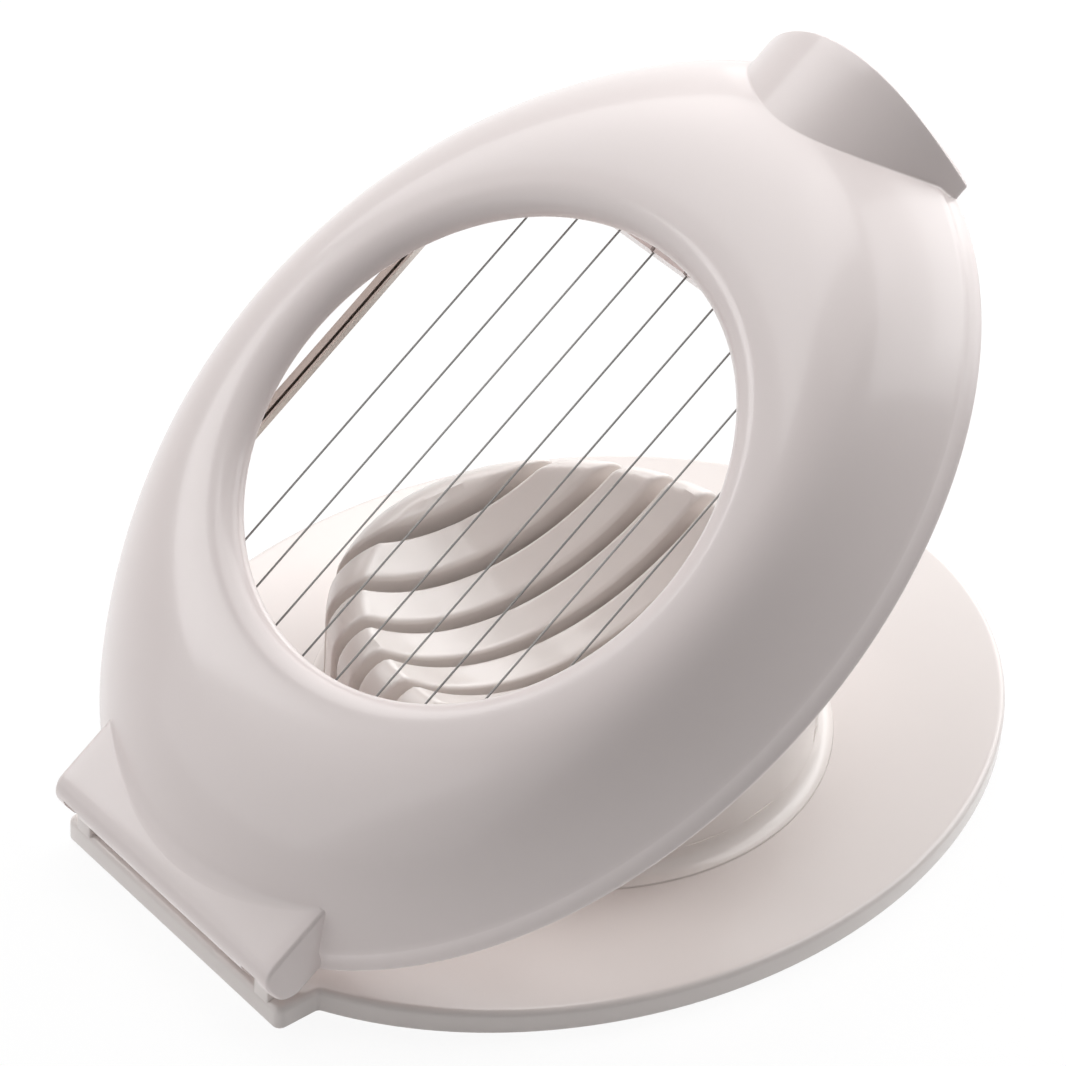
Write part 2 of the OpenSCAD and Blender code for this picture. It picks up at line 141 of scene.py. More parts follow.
def block(low, high):
    """A box between two corners."""
    (x0, y0, z0), (x1, y1, z1) = low, high
    ring = [(x0, y0), (x1, y0), (x1, y1), (x0, y1)]
    return loft([[(x, y, z0) for x, y in ring], [(x, y, z1) for x, y in ring]])


def rod_x(r, x0, x1, y, z, n=48):
    """A cylinder along X."""
    turns = [2 * math.pi * i / n for i in range(n)]
    ring = [(y + r * math.cos(a), z + r * math.sin(a)) for a in turns]
    return loft([[(x, a, b) for a, b in ring] for x in (x0, x1)])


def rounded(corners, radii, steps=6):
    """A closed outline with its corners rounded: one radius for each corner, 0 for none."""
    pts = np.asarray(corners, float)
    n = len(pts)
    out = []
    for i in range(n):
        p, a, b = pts[i], pts[i - 1], pts[(i + 1) % n]
        r = radii[i]
        da, db = (a - p) / np.linalg.norm(a - p), (b - p) / np.linalg.norm(b - p)
        angle = math.acos(float(np.clip(da @ db, -1, 1)))
        if r <= 0 or angle > math.pi - 0.02:
            out.append(p)
            continue
        t = r / math.tan(angle / 2)
        middle = p + (da + db) / np.linalg.norm(da + db) * r / math.sin(angle / 2)
        v0, v1 = p + da * t - middle, p + db * t - middle
        sweep = math.pi - angle
        for k in range(steps + 1):
            f = k / steps
            w = (math.sin((1 - f) * sweep) * v0 + math.sin(f * sweep) * v1) / math.sin(sweep)
            out.append(middle + w)
    return np.array(out)


def inset(outline, d):
    """A closed counter-clockwise outline moved in by d."""
    p = np.asarray(outline, float)
    e = np.roll(p, -1, 0) - p
    e /= np.linalg.norm(e, axis=1)[:, None]
    inward = np.stack([-e[:, 1], e[:, 0]], 1)
    before = np.roll(inward, 1, 0)
    m = inward + before
    m /= np.maximum((1 + (inward * before).sum(1))[:, None], 0.2)
    return p + m * d


def quarter(r, steps=5):
    """Steps of a rounded edge as [distance in from the side, distance in from the end]."""
    return [(r * (1 - math.cos(a)), r * (1 - math.sin(a)))
            for a in (math.pi / 2 * k / steps for k in range(steps + 1))]


def opened(points):
    """Lid points, laid out closed, turned about the hinge pins to the resting angle."""
    p = np.array(points, float)
    a = math.radians(OPEN_ANGLE)
    y, z = p[:, 1] - HINGE_Y, p[:, 2] - HINGE_Z
    p[:, 1] = HINGE_Y + y * math.cos(a) - z * math.sin(a)
    p[:, 2] = HINGE_Z + y * math.sin(a) + z * math.cos(a)
    return p


# Mesh objects
def new_object(name, shells):
    """One object from several closed shells of [points in mm, faces]."""
    verts, faces = [], []
    for v, f in shells:
        start = len(verts)
        verts.extend(tuple(float(c) * MM for c in p) for p in v)
        faces.extend(tuple(start + i for i in face) for face in f)
    mesh = bpy.data.meshes.new(name)
    mesh.from_pydata(verts, [], faces)
    bm = bmesh.new()
    bm.from_mesh(mesh)
    bmesh.ops.recalc_face_normals(bm, faces=bm.faces)
    bm.to_mesh(mesh)
    bm.free()
    obj = bpy.data.objects.new(name, mesh)
    bpy.context.scene.collection.objects.link(obj)
    return obj


def cut(obj, shells):
    """Takes closed shells out of an object."""
    for shell in shells:
        tool = new_object("tool", [shell])
        mod = obj.modifiers.new("cut", "BOOLEAN")
        mod.operation = "DIFFERENCE"
        mod.solver = "EXACT"
        mod.object = tool
        graph = bpy.context.evaluated_depsgraph_get()
        made = bpy.data.meshes.new_from_object(obj.evaluated_get(graph))
        obj.modifiers.clear()
        old = obj.data
        obj.data = made
        bpy.data.meshes.remove(old)
        tool_mesh = tool.data
        bpy.data.objects.remove(tool)
        bpy.data.meshes.remove(tool_mesh)


def shells_of(obj):
    """Takes an object back to points in mm and faces, and removes it."""
    verts = np.array([tuple(v.co) for v in obj.data.vertices]) / MM
    faces = [tuple(p.vertices) for p in obj.data.polygons]
    mesh = obj.data
    bpy.data.objects.remove(obj)
    bpy.data.meshes.remove(mesh)
    return verts, faces


def shade(obj, degrees=38):
    """Smooth shading that keeps edges sharper than an angle."""
    obj.data.polygons.foreach_set("use_smooth", [True] * len(obj.data.polygons))
    obj.data.set_sharp_from_angle(angle=math.radians(degrees))


# Lid: dome, hinge bar and thumb hood, laid out closed
def dome_axes(z):
    """Half width and half length of the lid's outside at a height, with the flare at its foot."""
    s = max(1 - (max(z, FLARE_Z) - BEVEL_Z) / (CREST_Z - BEVEL_Z), 0) ** (1 / DOME_POWER)
    rx, ry = CREST_R + (DOME_RX - CREST_R) * s, CREST_R + (DOME_RY - CREST_R) * s
    f = min(max((FLARE_Z - z) / (FLARE_Z - FLARE_END), 0), 1)
    out = 0.5 * f + 0.5 * f ** FLARE_POWER
    return rx + (LID_RX - rx) * out, ry + (LID_RY - ry) * out


def dome_y(x, z):
    """How far from the lid's middle its outside lies, along Y, at x and z."""
    rx, ry = dome_axes(z)
    return ry * math.sqrt(max(1 - (x / rx) ** 2, 0))


def dome_normal(x, z, side):
    """Outward normal of the dome at x and z, at the front (1) or the back (-1)."""
    h = 1e-3
    dx = (dome_y(x + h, z) - dome_y(x - h, z)) / (2 * h)
    dz = (dome_y(x, z + h) - dome_y(x, z - h)) / (2 * h)
    n = np.array([-dx, side, -dz])
    return n / np.linalg.norm(n)


def lid_section():
    """The shell's section as a closed loop of [half width, half length, height]."""
    loop = []
    roll_steps, dome_steps, flare_steps, edge_steps = 14, 44, 10, 8
    for k in range(roll_steps + 1):
        a = math.pi / 2 * k / roll_steps
        r = CREST_R - (CREST_R - APERTURE_R) * math.cos(a)
        loop.append((r, r, EDGE_Z + (CREST_Z - EDGE_Z) * math.sin(a)))
    flare_s = (1 - (FLARE_Z - BEVEL_Z) / (CREST_Z - BEVEL_Z)) ** (1 / DOME_POWER)
    for k in range(1, dome_steps + 1):
        s = flare_s * k / dome_steps
        loop.append((CREST_R + (DOME_RX - CREST_R) * s, CREST_R + (DOME_RY - CREST_R) * s,
                     BEVEL_Z + (CREST_Z - BEVEL_Z) * (1 - s ** DOME_POWER)))
    for k in range(1, flare_steps + 1):
        z = FLARE_Z + (FLARE_END - FLARE_Z) * k / flare_steps
        loop.append((*dome_axes(z), z))
    rim = rounded([(0, FLARE_END), (0, RIM_Z), (-LID_WALL, RIM_Z), (-LID_WALL - LIP_IN, BEVEL_Z)],
                  [0, RIM_ROUND, RIM_INNER_ROUND, 0])
    for u, z in rim[1:-1]:
        loop.append((LID_RX + u, LID_RY + u, z))
    for k in range(dome_steps, 0, -1):
        s = k / dome_steps
        loop.append((CREST_R + (DOME_RX - LID_WALL - CREST_R) * s,
                     CREST_R + (DOME_RY - LID_WALL - CREST_R) * s,
                     BEVEL_Z + (CREST_Z - LID_WALL - BEVEL_Z) * (1 - s ** DOME_POWER)))
    inner = APERTURE_R + LID_WALL
    for k in range(roll_steps, -1, -1):
        a = math.pi / 2 * k / roll_steps
        r = CREST_R - (CREST_R - inner) * math.cos(a)
        loop.append((r, r, EDGE_Z + (CREST_Z - LID_WALL - EDGE_Z) * math.sin(a)))
    half = LID_WALL / 2
    for k in range(1, edge_steps):
        a = math.pi * k / edge_steps
        r = APERTURE_R + half + half * math.cos(a)
        loop.append((r, r, EDGE_Z - APERTURE_DROP * math.sin(a)))
    return loop


def lid_dome(n=216):
    """The ring-shaped shell, cut away behind the hinge where the bar takes its place."""
    rings = []
    for rx, ry, z in lid_section():
        turns = [2 * math.pi * i / n for i in range(n)]
        rings.append([(rx * math.cos(a), LID_Y + ry * math.sin(a), z) for a in turns])
    obj = new_object("dome", [loft(rings, closed=True)])
    half = TAB_HALF - DOME_CUT_IN
    behind = block((-half, LID_Y - LID_RY - 1, 0), (half, HINGE_Y + DOME_CUT_FRONT, CREST_Z))
    cut(obj, [behind] + lug_pocket(-1) + lug_pocket(1))
    return shells_of(obj)


def bar_outline(x, d):
    """Section of the hinge bar in Y and Z at x, drawn in by d, with its front inside the dome's wall."""
    low, high = BAR_LOW - BAR_R + d, BAR_TOP - d
    pts = []
    for k in range(9):
        z = low + (high - low) * k / 8
        pts.append((max(LID_Y - dome_y(x, max(z, BEVEL_Z)) + LID_WALL / 2, HINGE_Y + 1), z))
    r = BAR_R - d
    front = pts[-1][0]
    for k in range(1, 6):
        pts.append((front + (HINGE_Y - front) * k / 6, high))
    for k in range(13):
        a = math.pi / 2 * (1 + k / 12)
        pts.append((HINGE_Y + r * math.cos(a), HINGE_Z + r * math.sin(a)))
    for k in range(13):
        a = math.pi * (1 + k / 24)
        pts.append((HINGE_Y + r * math.cos(a), BAR_LOW + r * math.sin(a)))
    return pts


def lug_pocket(side):
    """Shells that clear a lug and its pin from closed to fully open."""
    x0, x1 = sorted((side * (LUG_X - POCKET_HALF), side * (LUG_X + POCKET_HALF)))
    back = HINGE_Y - BAR_R - 1
    p0, p1 = sorted((side * (TROUGH_HALF - 1), side * PIN_OUT))
    return [rod_x(LUG_R + LUG_GAP, x0, x1, HINGE_Y, HINGE_Z),
            block((x0, back, 0), (x1, HINGE_Y + NECK_FRONT + LUG_GAP, HINGE_Z)),
            block((x0, back, HINGE_Z - 1), (x1, HINGE_Y, HINGE_Z + 1.5 + LUG_GAP)),
            rod_x(PIN_R, p0, p1, HINGE_Y, HINGE_Z)]


def hinge_bar():
    """The bar along the lid's back, hollow underneath, with a pocket for each lug."""
    stations = [(-TAB_HALF + u, v) for u, v in quarter(BAR_EDGE)]
    inner = TAB_HALF - BAR_EDGE
    xs = [-inner + 2 * inner * k / 28 for k in range(1, 28)]
    rings = [[(x, y, z) for y, z in bar_outline(x, d)] for x, d in stations]
    rings += [[(x, y, z) for y, z in bar_outline(x, 0)] for x in xs]
    rings += [[(-x, y, z) for y, z in bar_outline(x, d)] for x, d in reversed(stations)]
    obj = new_object("bar", [loft(rings)])
    back = HINGE_Y - BAR_R
    hollow = block((-TROUGH_HALF, back + LID_WALL, 0), (TROUGH_HALF, LID_Y - CREST_R, BAR_TOP - LID_WALL))
    cut(obj, [hollow] + lug_pocket(-1) + lug_pocket(1))
    return shells_of(obj)


def thumb_hood():
    """The arched hood over the lid's front, with its edge rounded."""
    zc = HOOD_TOP - HOOD_R
    corners, radii = [], []
    for r, way in ((HOOD_R, 1), (HOOD_R - HOOD_WALL, -1)):
        low_a = math.asin((HOOD_LOW - zc) / r)
        for k in range(49):
            a = math.pi / 2 + way * (low_a - math.pi / 2) * (1 - k / 24)
            corners.append((r * math.cos(a), zc + r * math.sin(a)))
            radii.append(HOOD_CORNER if k in (0, 48) else 0)
    outline = rounded(corners, radii)

    def front(x):
        return HOOD_END - HOOD_EDGE_R + math.sqrt(HOOD_EDGE_R ** 2 - x * x)

    start = [LID_Y + dome_y(x, z) - LID_WALL / 2 for x, z in outline]
    rings = []
    for k in range(9):
        f = k / 8
        rings.append([(x, s + (front(x) - HOOD_EDGE - s) * f, z) for (x, z), s in zip(outline, start)])
    for d, back in quarter(HOOD_EDGE)[1:]:
        moved = inset(outline, d)
        rings.append([(q[0], front(p[0]) - back, q[1]) for p, q in zip(outline, moved)])
    return loft(rings)


def fillet(curve, radius, steps=6):
    """A concave strip that softens a corner between two surfaces, from [point, normal, other normal]."""
    rings = []
    for p, n1, n2 in curve:
        t = np.cross(n1, n2)
        t /= np.linalg.norm(t)
        d1, d2 = np.cross(t, n1), np.cross(t, n2)
        d1 *= 1 if d1 @ n2 > 0 else -1
        d2 *= 1 if d2 @ n1 > 0 else -1
        angle = math.acos(float(np.clip(d1 @ d2, -1, 1)))
        reach = radius / math.tan(angle / 2)
        middle = p + (d1 + d2) / np.linalg.norm(d1 + d2) * radius / math.sin(angle / 2)
        v1, v2 = p + d1 * reach - middle, p + d2 * reach - middle
        sweep = math.pi - angle
        ring = []
        for k in range(steps + 1):
            f = k / steps
            w = (math.sin((1 - f) * sweep) * v1 + math.sin(f * sweep) * v2) / math.sin(sweep)
            ring.append(middle + w)
        ring.append(p + d2 * reach * 0.6 - n2 * BLEND_SINK)
        ring.append(p + d1 * reach * 0.6 - n1 * BLEND_SINK)
        rings.append(ring)
    return loft(rings)


def bar_fillet():
    """The blend from dome to bar: a rolling ball that grows from the bar's ends to its middle."""
    rings = []
    up = np.array([0.0, 0.0, 1.0])
    reach = TAB_HALF - BLEND_MARGIN
    for k in range(97):
        x = reach * (2 * k / 96 - 1)
        r = BLEND_END + (BLEND_MIDDLE - BLEND_END) * (1 - abs(x / reach) ** BLEND_POWER)
        low, high = BAR_TOP, CREST_Z - 0.5
        for _ in range(40):
            z = (low + high) / 2
            n = dome_normal(x, z, -1)
            if z + r * n[2] < BAR_TOP + r:
                low = z
            else:
                high = z
        middle = np.array([x, LID_Y - dome_y(x, z), z]) + r * n
        sweep = math.acos(float(n @ up))
        ring = []
        for j in range(9):
            f = j / 8
            way = (math.sin((1 - f) * sweep) * n + math.sin(f * sweep) * up) / math.sin(sweep)
            ring.append(middle - r * way)
        ring.append(ring[-1] - up * BLEND_SINK)
        ring.append(ring[0] - n * BLEND_SINK)
        rings.append(ring)
    return loft(rings)


def hood_fillet():
    """The small blend where the hood meets the dome."""
    curve = []
    zc = HOOD_TOP - HOOD_R
    for k in range(81):
        x = (HOOD_HALF - HOOD_BLEND) * (2 * k / 80 - 1)
        z = zc + math.sqrt(HOOD_R ** 2 - x * x)
        p = np.array([x, LID_Y + dome_y(x, z), z])
        curve.append((p, dome_normal(x, z, 1), np.array([x, 0.0, z - zc]) / HOOD_R))
    return fillet(curve, HOOD_BLEND)


def comb_bosses():
    """The four bosses under the dome, each with a blind screw hole."""
    top = CREST_Z - LID_WALL / 2
    profile = [(0, SCREW_HOLE_TOP), (SCREW_HOLE_R, SCREW_HOLE_TOP), (SCREW_HOLE_R, COMB_TOP),
               (BOSS_R - 0.3, COMB_TOP), (BOSS_R, COMB_TOP + 0.3), (BOSS_R + 0.15, top), (0, top)]
    return [turned(profile, 40, (sx * COMB_SCREW_X, LID_Y + sy * COMB_SCREW_Y))
            for sx in (-1, 1) for sy in (-1, 1)]


def make_lid():
    """The whole lid, opened to its resting angle."""
    shells = [lid_dome(), hinge_bar(), thumb_hood(), bar_fillet(), hood_fillet()] + comb_bosses()
    obj = new_object("lid", [(opened(v), f) for v, f in shells])
    shade(obj)
    return obj


# Base plate
def base_outline(d):
    """Outline of the oval with its hinge tab, counter-clockwise, drawn in by d."""
    rx, ry, half = BASE_RX - d, BASE_RY - d, TAB_HALF - d
    start = -math.acos(half / rx)
    sweep = math.pi - 2 * start
    corners = [(-half, -ry), (half, -ry)]
    radii = [max(TAB_ROUND - d, 0.05)] * 2
    n = 180
    for k in range(n + 1):
        a = start + sweep * k / n
        corners.append((rx * math.cos(a), ry * math.sin(a)))
        radii.append(TAB_INNER_ROUND + d if k in (0, n) else 0)
    return rounded(corners, radii)


def lug(side):
    """A lug with a round head, standing on the base's tab."""
    pts = [(-BASE_RY, BASE_H - LUG_ROOT)]
    a0 = math.atan2(-math.sqrt(LUG_R ** 2 - NECK_FRONT ** 2), NECK_FRONT)
    back = HINGE_Y + BASE_RY
    a1 = math.pi + math.atan2(math.sqrt(LUG_R ** 2 - back ** 2), back)
    pts.append((HINGE_Y + NECK_FRONT, BASE_H - LUG_ROOT))
    for k in range(33):
        a = a0 + (a1 - a0) * k / 32
        pts.append((HINGE_Y + LUG_R * math.cos(a), HINGE_Z + LUG_R * math.sin(a)))
    outline = np.array(pts)
    x0 = side * LUG_X - LUG_W / 2
    edge = quarter(LUG_EDGE, 4)
    rings = [[(x0 + u, y, z) for y, z in inset(outline, v)] for u, v in edge]
    rings += [[(x0 + LUG_W - u, y, z) for y, z in inset(outline, v)] for u, v in reversed(edge)]
    return loft(rings)


def make_base():
    """The plate with its seat, trough and hollow, and the lugs and pads that stand on it."""
    rings = []
    for u, v in quarter(PLATE_LOW_EDGE, 4):
        rings.append([(x, y, u) for x, y in base_outline(v)])
    for u, v in reversed(quarter(PLATE_TOP_EDGE, 7)):
        rings.append([(x, y, BASE_H - u) for x, y in base_outline(v)])
    rings.append([(x, y, BASE_H) for x, y in base_outline(PLATE_FLAT_IN)])
    obj = new_object("plate", [loft(rings)])
    hollow = [((BASE_RX - BASE_WALL) * math.cos(2 * math.pi * k / 160),
               (BASE_RY - BASE_WALL) * math.sin(2 * math.pi * k / 160)) for k in range(160)]
    seat_r = CUP_R + FOOT_SPREAD + SEAT_GAP / 2
    over = BASE_H + 1
    cut(obj, [loft([[(x, y, z) for x, y in hollow] for z in (-1, BASE_H - BASE_SKIN)]),
              turned([(0, SEAT_Z), (seat_r, SEAT_Z), (seat_r, over), (0, over)], 160, (0, CUP_Y)),
              block((-TROUGH_HALF, TROUGH_LOW, BASE_H - TROUGH_DEPTH), (TROUGH_HALF, TROUGH_HIGH, over))])
    top = BASE_H - BASE_SKIN + PAD_ROOT
    pad = [(0, HEAD_HOLE_Z), (HEAD_HOLE_R, HEAD_HOLE_Z), (HEAD_HOLE_R, 0.15), (HEAD_HOLE_R + 0.15, 0),
           (PAD_R - 0.2, 0), (PAD_R, 0.2), (PAD_R, top), (0, top)]
    place = 2.5 * WIRE_PITCH
    pads = [turned(pad, 48, (sx * place, CUP_Y + sy * place)) for sx in (-1, 1) for sy in (-1, 1)]
    pad_foot = [(0, 0), (FOOT_PAD_R - 0.3, 0), (FOOT_PAD_R, 0.3), (FOOT_PAD_R, top), (0, top)]
    foot = turned(pad_foot, 64)
    obj = new_object("base", [shells_of(obj), foot, lug(-1), lug(1)] + pads)
    shade(obj)
    return obj


# Slotted cup
def cup_profile(d):
    """Wall, rounded rim and bowl as [radius, height] pairs from the slots' floor inwards, drawn in by d."""
    r, top = CUP_R - d, CUP_TOP - d
    rr = CUP_ROUND - d
    bowl_r = (BOWL_RIM_R ** 2 + BOWL_DEPTH ** 2) / (2 * BOWL_DEPTH)
    zc = CUP_TOP - BOWL_DEPTH + bowl_r
    pts = [(r, SLOT_Z), (r, CUP_TOP - CUP_ROUND)]
    for k in range(1, 25):
        a = math.pi / 2 * k / 24
        pts.append((CUP_R - CUP_ROUND + rr * math.cos(a), CUP_TOP - CUP_ROUND + rr * math.sin(a)))
    ball = bowl_r + d
    rim = math.sqrt(ball ** 2 - (zc - top) ** 2)
    if rim > CUP_R - CUP_ROUND:
        pts = [p for p in pts if p[0] > rim + 0.05 or p[1] < top - 2.5]
    steps = 60
    for k in range(steps + 1):
        q = rim * (1 - k / steps)
        pts.append((q, zc - math.sqrt(ball ** 2 - q * q)))
    return np.array(pts)


def cup_station(x, d, n=44):
    """Section of the cup in Y and Z at x, drawn in by d: wall, rim, bowl and back over the other side."""
    prof = cup_profile(d)
    ax = abs(x)
    side = []
    for k in range(len(prof) - 1):
        (r0, z0), (r1, z1) = prof[k], prof[k + 1]
        side.append((r0, z0))
        if r1 <= ax < r0:
            f = (r0 - ax) / (r0 - r1)
            side.append((ax, z0 + (z1 - z0) * f))
            break
    side = np.array([(math.sqrt(max(r * r - x * x, 0)), z) for r, z in side])
    step = np.r_[0, np.cumsum(np.linalg.norm(np.diff(side, axis=0), axis=1))]
    at = np.linspace(0, step[-1], n)
    y, z = np.interp(at, step, side[:, 0]), np.interp(at, step, side[:, 1])
    right = list(zip(y, z))
    left = [(-a, b) for a, b in reversed(right[:-1])]
    return right + left


def finger(x0, x1, ends=(True, True)):
    """A finger of the cup between two slots, with its slot edges rounded."""
    low = quarter(SLOT_EDGE) if ends[0] else [(0, 0)]
    high = quarter(SLOT_EDGE) if ends[1] else [(0, 0)]
    stations = [(x0 + u, v) for u, v in low]
    a, b = stations[-1][0], x1 - high[-1][0]
    stations += [(a + (b - a) * k / 6, 0) for k in range(1, 6)]
    stations += [(x1 - u, v) for u, v in reversed(high)]
    return loft([[(x, CUP_Y + y, z) for y, z in cup_station(x, d)] for x, d in stations])


def make_cup():
    """The fingers between the slots, on a round foot."""
    half = SLOT_W / 2
    wires = [(i - (WIRE_COUNT - 1) / 2) * WIRE_PITCH for i in range(WIRE_COUNT)]
    shells = [finger(a + half, b - half) for a, b in zip(wires, wires[1:])]
    last = wires[-1] + half
    shells.append(finger(last, CUP_R - 0.02, (True, False)))
    shells.append(finger(-CUP_R + 0.02, -last, (False, True)))
    foot_r = CUP_R + FOOT_SPREAD
    fillet_z = BASE_H + FOOT_LIP + FOOT_SPREAD
    profile = [(0, SEAT_Z), (foot_r - 0.2, SEAT_Z), (foot_r, SEAT_Z + 0.2),
               (foot_r, fillet_z - FOOT_SPREAD - 0.15), (foot_r - 0.1, fillet_z - FOOT_SPREAD)]
    for k in range(1, 13):
        a = math.pi / 2 * (3 - k / 12)
        profile.append((foot_r + FOOT_SPREAD * math.cos(a), fillet_z + FOOT_SPREAD * math.sin(a)))
    profile += [(CUP_R, SLOT_Z), (0, SLOT_Z)]
    obj = new_object("cup", [turned(profile, 192, (0, CUP_Y))] + shells)
    shade(obj)
    return obj


# Materials
def plastic(name, colour, roughness):
    """Moulded glossy plastic: faint mottling in colour and gloss, and a very fine flow texture."""
    mat = bpy.data.materials.new(name)
    mat.use_nodes = True
    nodes, links = mat.node_tree.nodes, mat.node_tree.links
    shader = nodes["Principled BSDF"]
    coords = nodes.new("ShaderNodeTexCoord")
    mottle = nodes.new("ShaderNodeTexNoise")
    mottle.inputs["Scale"].default_value = 28.0
    mottle.inputs["Detail"].default_value = 4.0
    links.new(coords.outputs["Object"], mottle.inputs["Vector"])
    ramp = nodes.new("ShaderNodeValToRGB")
    ramp.color_ramp.elements[0].color = tuple(c * 0.985 for c in colour) + (1.0,)
    ramp.color_ramp.elements[1].color = tuple(min(c * 1.015, 1.0) for c in colour) + (1.0,)
    links.new(mottle.outputs["Fac"], ramp.inputs["Fac"])
    links.new(ramp.outputs["Color"], shader.inputs["Base Color"])
    gloss = nodes.new("ShaderNodeMapRange")
    gloss.inputs["To Min"].default_value = roughness * 0.95
    gloss.inputs["To Max"].default_value = roughness * 1.08
    links.new(mottle.outputs["Fac"], gloss.inputs["Value"])
    links.new(gloss.outputs["Result"], shader.inputs["Roughness"])
    flow = nodes.new("ShaderNodeTexNoise")
    flow.inputs["Scale"].default_value = 140.0
    flow.inputs["Detail"].default_value = 3.0
    links.new(coords.outputs["Object"], flow.inputs["Vector"])
    bump = nodes.new("ShaderNodeBump")
    bump.inputs["Strength"].default_value = 0.06
    bump.inputs["Distance"].default_value = 0.0002
    links.new(flow.outputs["Fac"], bump.inputs["Height"])
    links.new(bump.outputs["Normal"], shader.inputs["Normal"])
    shader.inputs["IOR"].default_value = 1.53
    shader.inputs["Coat Weight"].default_value = 0.4
    shader.inputs["Coat Roughness"].default_value = 0.1
    return mat


def steel(name, colour, roughness, along, crevice=0.0):
    """Drawn steel: fine streaks along one direction, and painted shade in grooves narrower than crevice
    metres.
    """
    mat = bpy.data.materials.new(name)
    mat.use_nodes = True
    nodes, links = mat.node_tree.nodes, mat.node_tree.links
    shader = nodes["Principled BSDF"]
    coords = nodes.new("ShaderNodeTexCoord")
    mapping = nodes.new("ShaderNodeMapping")
    mapping.inputs["Scale"].default_value = along
    links.new(coords.outputs["Object"], mapping.inputs["Vector"])
    streaks = nodes.new("ShaderNodeTexNoise")
    streaks.inputs["Scale"].default_value = 300.0
    streaks.inputs["Detail"].default_value = 3.0
    links.new(mapping.outputs["Vector"], streaks.inputs["Vector"])
    ramp = nodes.new("ShaderNodeValToRGB")
    ramp.color_ramp.elements[0].position = 0.3
    ramp.color_ramp.elements[1].position = 0.7
    ramp.color_ramp.elements[0].color = tuple(c * 0.85 for c in colour) + (1.0,)
    ramp.color_ramp.elements[1].color = tuple(min(c * 1.1, 1.0) for c in colour) + (1.0,)
    links.new(streaks.outputs["Fac"], ramp.inputs["Fac"])
    tone = ramp.outputs["Color"]
    # Painted shade: ambient occlusion darkens the colour to brown-black inside narrow grooves, standing in
    # for the shadow that falls there.
    if crevice:
        hidden = nodes.new("ShaderNodeAmbientOcclusion")
        hidden.only_local = True
        hidden.samples = 8
        hidden.inputs["Distance"].default_value = crevice
        painted_groove_shade = nodes.new("ShaderNodeValToRGB")
        painted_groove_shade.color_ramp.elements[0].position = 0.2
        painted_groove_shade.color_ramp.elements[1].position = 0.7
        painted_groove_shade.color_ramp.elements[0].color = (0.16, 0.12, 0.1, 1)
        painted_groove_shade.color_ramp.elements[1].color = (1, 1, 1, 1)
        links.new(hidden.outputs["AO"], painted_groove_shade.inputs["Fac"])
        both = nodes.new("ShaderNodeMix")
        both.data_type = "RGBA"
        both.blend_type = "MULTIPLY"
        both.inputs["Factor"].default_value = 1.0
        links.new(tone, both.inputs["A"])
        links.new(painted_groove_shade.outputs["Color"], both.inputs["B"])
        tone = both.outputs["Result"]
    links.new(tone, shader.inputs["Base Color"])
    rough = nodes.new("ShaderNodeMapRange")
    rough.inputs["To Min"].default_value = roughness * 0.8
    rough.inputs["To Max"].default_value = roughness * 1.25
    links.new(streaks.outputs["Fac"], rough.inputs["Value"])
    links.new(rough.outputs["Result"], shader.inputs["Roughness"])
    shader.inputs["Metallic"].default_value = 1.0
    return mat


def paint(obj, mat):
    """Gives an object one material."""
    obj.data.materials.clear()
    obj.data.materials.append(mat)


# Stage, light and camera
def seen_directly(nodes, links):
    """1 for a ray that shows a surface to the eye, straight, mirrored or through glass."""
    path = nodes.new("ShaderNodeLightPath")
    total = path.outputs["Is Camera Ray"]
    for kind in ("Is Glossy Ray", "Is Transmission Ray"):
        larger = nodes.new("ShaderNodeMath")
        larger.operation = "MAXIMUM"
        links.new(total, larger.inputs[0])
        links.new(path.outputs[kind], larger.inputs[1])
        total = larger.outputs["Value"]
    return total


def stage_material(name, level, lit):
    """A white that the camera sees as background, with the object's shadow kept faintly."""
    mat = bpy.data.materials.new(name)
    mat.use_nodes = True
    nodes, links = mat.node_tree.nodes, mat.node_tree.links
    nodes.clear()
    out = nodes.new("ShaderNodeOutputMaterial")
    plain = nodes.new("ShaderNodeBsdfDiffuse")
    plain.inputs["Color"].default_value = (TABLE_WHITE, TABLE_WHITE, TABLE_WHITE, 1)
    table = nodes.new("ShaderNodeEmission")
    table.inputs["Strength"].default_value = TABLE_GLOW
    lit_table = nodes.new("ShaderNodeAddShader")
    links.new(plain.outputs["BSDF"], lit_table.inputs[0])
    links.new(table.outputs["Emission"], lit_table.inputs[1])
    shadow = nodes.new("ShaderNodeBsdfDiffuse")
    shadow.inputs["Color"].default_value = (lit, lit, lit, 1)
    glow = nodes.new("ShaderNodeEmission")
    glow.inputs["Color"].default_value = (1, 1, 1, 1)
    glow.inputs["Strength"].default_value = level
    both = nodes.new("ShaderNodeAddShader")
    links.new(shadow.outputs["BSDF"], both.inputs[0])
    links.new(glow.outputs["Emission"], both.inputs[1])
    mix = nodes.new("ShaderNodeMixShader")
    links.new(seen_directly(nodes, links), mix.inputs["Fac"])
    links.new(lit_table.outputs["Shader"], mix.inputs[1])
    links.new(both.outputs["Shader"], mix.inputs[2])
    links.new(mix.outputs["Shader"], out.inputs["Surface"])
    return mat


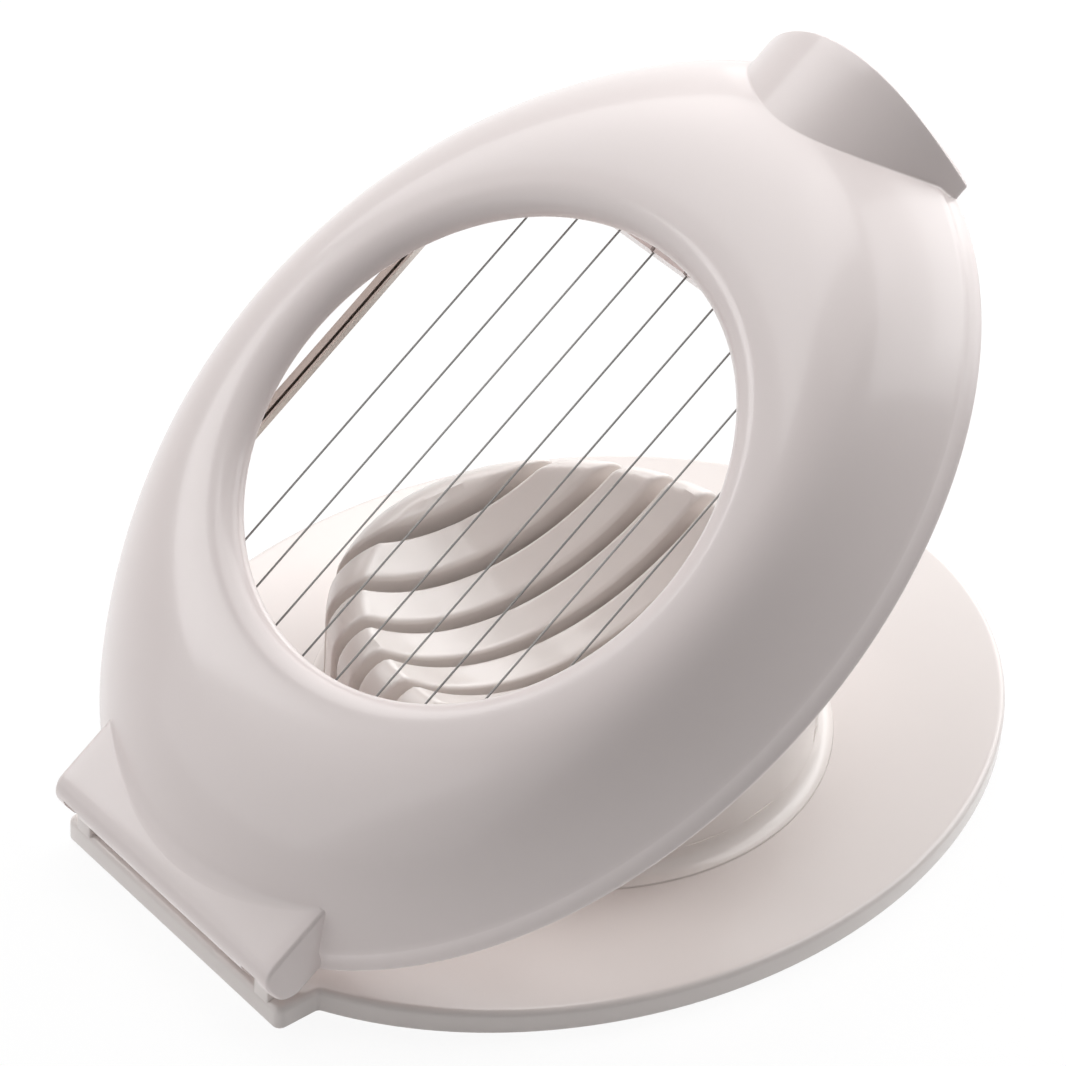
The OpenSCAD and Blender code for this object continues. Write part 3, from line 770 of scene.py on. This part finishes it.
def make_stage():
    """The floor and the room around it."""
    bpy.ops.mesh.primitive_circle_add(vertices=96, radius=FLOOR_RADIUS, fill_type="NGON",
                                      location=(0, 0, FLOOR_Z))
    floor = bpy.context.object
    floor.name = "floor"
    floor.data.materials.append(stage_material("floor_white", FLOOR_GLOW, FLOOR_LIT))
    world = bpy.data.worlds.new("studio")
    bpy.context.scene.world = world
    world.use_nodes = True
    nodes, links = world.node_tree.nodes, world.node_tree.links
    nodes.clear()
    out = nodes.new("ShaderNodeOutputWorld")
    room = nodes.new("ShaderNodeBackground")
    room.inputs["Color"].default_value = ROOM_COLOUR
    room.inputs["Strength"].default_value = ROOM_LEVEL
    white = nodes.new("ShaderNodeBackground")
    white.inputs["Color"].default_value = (1, 1, 1, 1)
    white.inputs["Strength"].default_value = 1.0
    mix = nodes.new("ShaderNodeMixShader")
    links.new(seen_directly(nodes, links), mix.inputs["Fac"])
    links.new(room.outputs["Background"], mix.inputs[1])
    links.new(white.outputs["Background"], mix.inputs[2])
    links.new(mix.outputs["Shader"], out.inputs["Surface"])


def softbox(name, turn, rise, wide, high, power):
    """A flat soft lamp, aimed at the object."""
    a, e = math.radians(turn + VIEW_TURN - 90), math.radians(rise)
    aim = Vector((0, 0, LAMP_AIM))
    way = Vector((math.cos(a) * math.cos(e), math.sin(a) * math.cos(e), math.sin(e)))
    data = bpy.data.lights.new(name, "AREA")
    data.shape = "RECTANGLE"
    data.size, data.size_y = wide, high
    data.energy = power
    obj = bpy.data.objects.new(name, data)
    obj.location = aim + LAMP_DISTANCE * way
    obj.rotation_mode = "QUATERNION"
    obj.rotation_quaternion = (-way).to_track_quat("-Z", "Y")
    bpy.context.scene.collection.objects.link(obj)


def make_camera():
    """The camera at the photograph's viewing angle."""
    a, e, roll = (math.radians(v) for v in (VIEW_TURN, VIEW_RISE, VIEW_ROLL))
    right = Vector((math.cos(a), math.sin(a), 0))
    back = Vector((math.sin(a) * math.cos(e), -math.cos(a) * math.cos(e), math.sin(e)))
    up = back.cross(right)
    right2 = right * math.cos(roll) + up * math.sin(roll)
    up2 = -right * math.sin(roll) + up * math.cos(roll)
    place = (-VIEW_SHIFT[0] * right2 - VIEW_SHIFT[1] * up2 + VIEW_DISTANCE * back) * MM
    data = bpy.data.cameras.new("camera")
    data.sensor_width = SENSOR_MM
    data.lens = VIEW_PX_PER_MM * VIEW_DISTANCE / IMAGE_PX * data.sensor_width
    data.clip_start, data.clip_end = CLIP_NEAR, CLIP_FAR
    cam = bpy.data.objects.new("camera", data)
    turn = Matrix((right2, up2, back)).transposed().to_4x4()
    cam.matrix_world = Matrix.Translation(place) @ turn
    bpy.context.scene.collection.objects.link(cam)
    bpy.context.scene.camera = cam


make_camera()
make_stage()
for lamp, setting in LAMPS.items():
    softbox(lamp, *setting)

white = plastic("white_plastic_gloss", (0.842, 0.755, 0.738), PLASTIC_ROUGHNESS)
white_base = plastic("white_plastic_base", (0.83, 0.767, 0.74), PLASTIC_ROUGHNESS)
# The cup's white is a lighter copy of the same plastic: the extra lightness is painted light, standing in
# for light the cup catches.
white_cup = plastic("white_plastic_cup", (0.87, 0.81, 0.775), PLASTIC_ROUGHNESS)
wire_steel = steel("wire_steel", (0.23, 0.225, 0.22), STEEL_ROUGHNESS, STEEL_GRAIN)
# Rail steel: partly its own steel grey and partly painted reflection, a warm beige tint standing in for
# warm light bounced onto the rails; its grooves get painted shade.
rail_steel = steel("rail_steel", (0.74, 0.70, 0.66), STEEL_ROUGHNESS, STEEL_GRAIN, RAIL_CREVICE)
plain_steel = steel("plain_steel", (0.56, 0.55, 0.54), STEEL_ROUGHNESS, STEEL_GRAIN)

lid = make_lid()
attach(lid, "lid")
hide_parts("lid_shell")
paint(lid, white)

base = make_base()
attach(base, "base")
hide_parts("base_plate")
paint(base, white_base)

cup = make_cup()
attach(cup, "base")
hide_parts("slicing_cup")
paint(cup, white_cup)

for name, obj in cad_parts.items():
    if name.endswith("comb"):
        paint(obj, white)
    elif name.startswith("cutting_wire"):
        paint(obj, wire_steel)
    elif name.endswith("rail"):
        paint(obj, rail_steel)
    elif name not in ("lid_shell", "base_plate", "slicing_cup"):
        paint(obj, plain_steel)

bpy.context.scene.view_settings.view_transform = "Standard"
